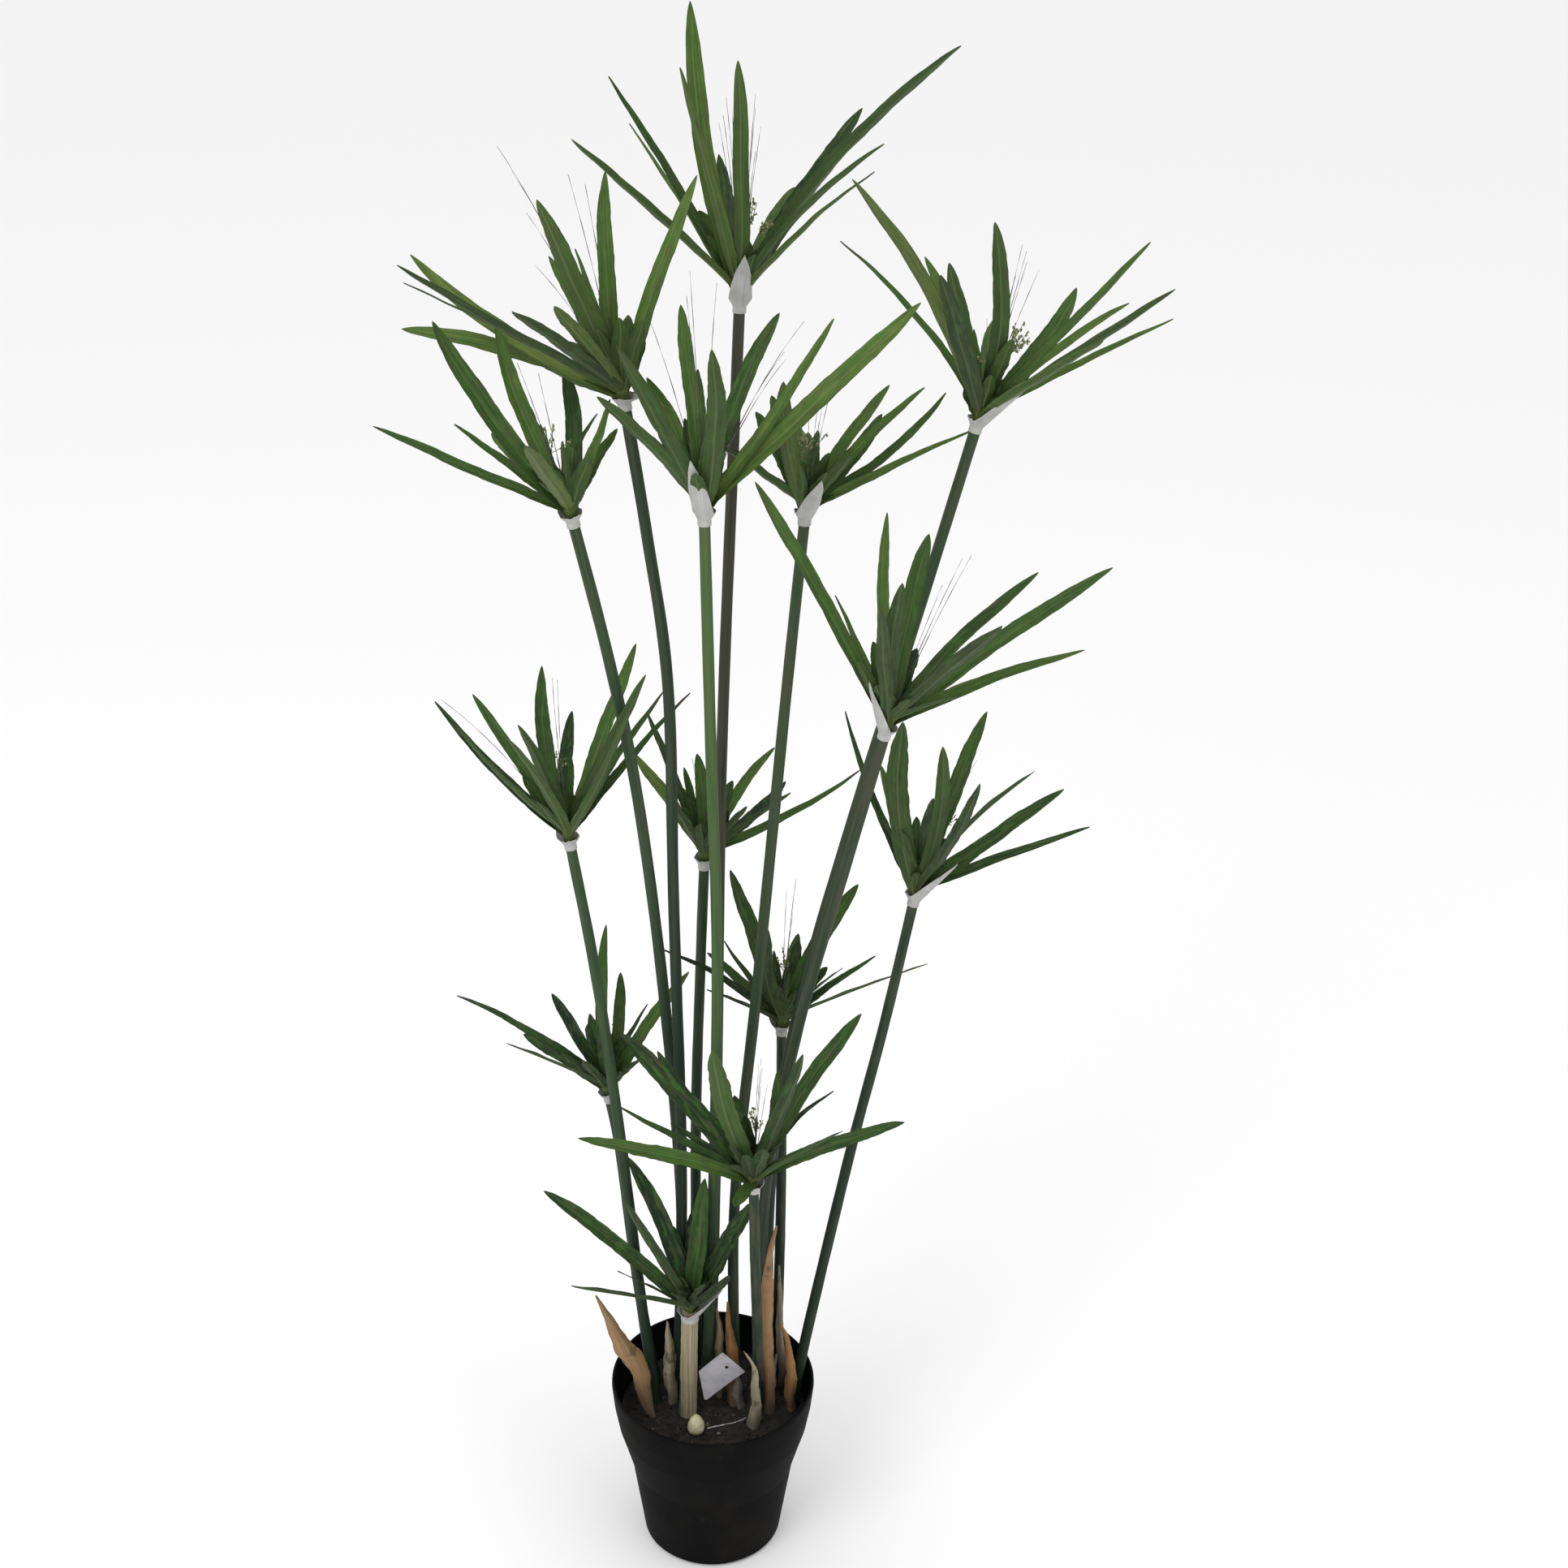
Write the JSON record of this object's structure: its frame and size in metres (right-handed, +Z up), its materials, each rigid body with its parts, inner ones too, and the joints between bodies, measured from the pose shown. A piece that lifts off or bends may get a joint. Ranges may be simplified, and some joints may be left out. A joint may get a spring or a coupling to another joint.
{
  "type": "potted umbrella sedge",
  "caption": "Tall potted sedge: slender green stems, each topped by a whorl of strap leaves with seed clusters and a papery cuff, standing in soil in a round black pot.",
  "frame": {"origin": "centre of the pot's flat underside, on the surface the pot stands on", "axes": "+Z up along the stems; -Y towards the viewer of the picture; +X to that viewer's right"},
  "size_m": [0.549, 0.31, 1.265],
  "materials": {
    "pot": "black plastic, satin, with faint mottling",
    "soil": "dark crumbly soil over a weighted fill",
    "stem": "ridged green stem, darker and bluish with brown patches lower down",
    "stalk": "pale beige fibrous stalk",
    "leaf": "green strap leaf with lighter veins and brown tips",
    "papery_sheath": "thin pale grey paper",
    "dry_sheath": "dry tan to orange-brown papery leaf base",
    "card": "blank pale grey card",
    "bud": "cream shoot bud",
    "root": "thin pale rootlet"
  },
  "bodies": {
    "root": {"pot": "pot", "soil": "soil", "stem_01": "stem", "stem_02": "stem", "stem_03": "stem", "stem_04": "stem", "stem_05": "stem", "stem_06": "stem", "stem_07": "stem", "stem_08": "stem", "stem_09": "stem", "stem_10": "stem", "stem_11": "stem", "stem_12": "stem", "stem_13": "stem", "stem_14": "stalk", "crown_01": "leaf", "crown_02": "leaf", "crown_03": "leaf", "crown_04": "leaf", "crown_05": "leaf", "crown_06": "leaf", "crown_07": "leaf", "crown_08": "leaf", "crown_09": "leaf", "crown_10": "leaf", "crown_11": "leaf", "crown_12": "leaf", "crown_13": "leaf", "crown_14": "leaf", "sheath_01": "papery_sheath", "sheath_02": "papery_sheath", "sheath_03": "papery_sheath", "sheath_04": "papery_sheath", "sheath_05": "papery_sheath", "sheath_06": "papery_sheath", "sheath_07": "papery_sheath", "sheath_08": "papery_sheath", "sheath_09": "papery_sheath", "sheath_10": "papery_sheath", "sheath_11": "papery_sheath", "sheath_12": "papery_sheath", "sheath_13": "papery_sheath", "sheath_14": "papery_sheath", "dry_sheath_01": "dry_sheath", "dry_sheath_02": "dry_sheath", "dry_sheath_03": "dry_sheath", "dry_sheath_04": "dry_sheath", "dry_sheath_05": "dry_sheath", "dry_sheath_06": "dry_sheath", "dry_sheath_07": "dry_sheath", "dry_sheath_08": "dry_sheath", "dry_sheath_09": "dry_sheath", "dry_sheath_10": "dry_sheath", "tag": "card", "shoot_bud": "bud", "surface_root": "root"}
  },
  "joints": []
}
